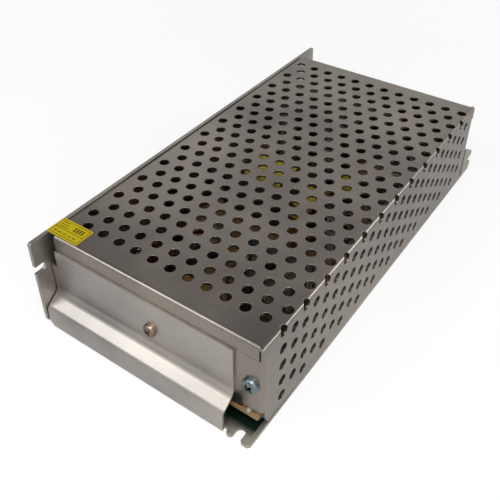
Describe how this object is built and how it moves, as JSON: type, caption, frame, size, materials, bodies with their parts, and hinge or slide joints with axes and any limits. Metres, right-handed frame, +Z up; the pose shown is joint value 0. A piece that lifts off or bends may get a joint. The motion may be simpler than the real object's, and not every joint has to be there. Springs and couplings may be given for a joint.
{
  "type": "mesh case switching power supply",
  "caption": "Enclosed switching power supply in a perforated sheet metal case, with a terminal strip under a folded hood, slotted mounting ears and its circuit inside.",
  "frame": {"origin": "centre of the footprint, on the surface that the base stands on", "axes": "+X towards the perforated side, -Y towards the terminal end with the hood, +Y towards the rear, +Z up through the perforated top"},
  "size_m": [0.098, 0.2, 0.0421],
  "materials": {
    "zinc_steel": "bright galvanised sheet",
    "cover_steel": "satin sheet",
    "nickel": "bright nickel",
    "zinc": "zinc plated, faint blue tint",
    "board": "tan laminate under clear lacquer",
    "black_plastic": "satin moulding",
    "tinned_brass": "tinned brass",
    "lamp": "diffused clear epoxy",
    "blue_plastic": "satin moulding",
    "white_plastic": "satin moulding",
    "fuse_ceramic": "plain ceramic tube",
    "dark_epoxy": "dull dipped coating",
    "ferrite": "dull sintered ferrite",
    "copper": "enamelled copper wire",
    "yellow_plastic": "moulded case",
    "black_sleeve": "shrunk sleeve",
    "yellow_tape": "layers of film tape",
    "aluminium": "mill finish",
    "yellow_core": "painted powder core",
    "brown_sleeve": "shrunk sleeve",
    "blue_sleeve": "shrunk sleeve",
    "blue_epoxy": "dipped coating",
    "resistor_body": "lacquered body",
    "yellow_label": "printed film with a dark border and plain bars"
  },
  "bodies": {
    "case": {"chassis": "zinc_steel", "mesh_cover": "cover_steel", "terminal_hood": "cover_steel", "hood_screw": "nickel", "hood_nut": "zinc", "cover_end_screws": "zinc", "end_brackets": "zinc", "side_screws": "nickel", "circuit_board": "board", "board_posts": "zinc", "board_screws": "nickel", "terminal_block": "black_plastic", "terminal_screws": "nickel", "terminal_plates": "tinned_brass", "indicator_lamp": "lamp", "adjuster_body": "blue_plastic", "fuse_tube": "fuse_ceramic", "fuse_caps": "nickel", "fuse_clips": "zinc", "inrush_thermistor": "dark_epoxy", "choke_base": "black_plastic", "choke_core": "ferrite", "choke_windings": "copper", "filter_capacitor": "yellow_plastic", "bridge_rectifier": "black_plastic", "input_capacitors": "black_sleeve", "main_transformer_core": "ferrite", "main_transformer_winding": "yellow_tape", "main_transformer_bobbin": "black_plastic", "drive_transformer_core": "ferrite", "drive_transformer_winding": "yellow_tape", "drive_transformer_bobbin": "black_plastic", "primary_heatsink": "aluminium", "power_transistors": "black_plastic", "transistor_screws": "zinc", "secondary_heatsink": "aluminium", "output_rectifiers": "black_plastic", "rectifier_screws": "zinc", "inductor_core": "yellow_core", "inductor_winding": "copper", "output_capacitors": "brown_sleeve", "blue_capacitor": "blue_sleeve", "small_capacitors": "black_sleeve", "disc_capacitors": "blue_epoxy", "control_chip": "black_plastic", "resistors": "resistor_body", "sealing_label": "yellow_label"},
    "adjuster": {"adjuster_rotor": "white_plastic"}
  },
  "joints": [
    {"name": "adjuster_turn", "type": "hinge", "parent": "case", "child": "adjuster", "pos_m": [0.0419, -0.0803, 0.0137], "axis": [0, 0, 1], "range_deg": [-135, 135]}
  ]
}
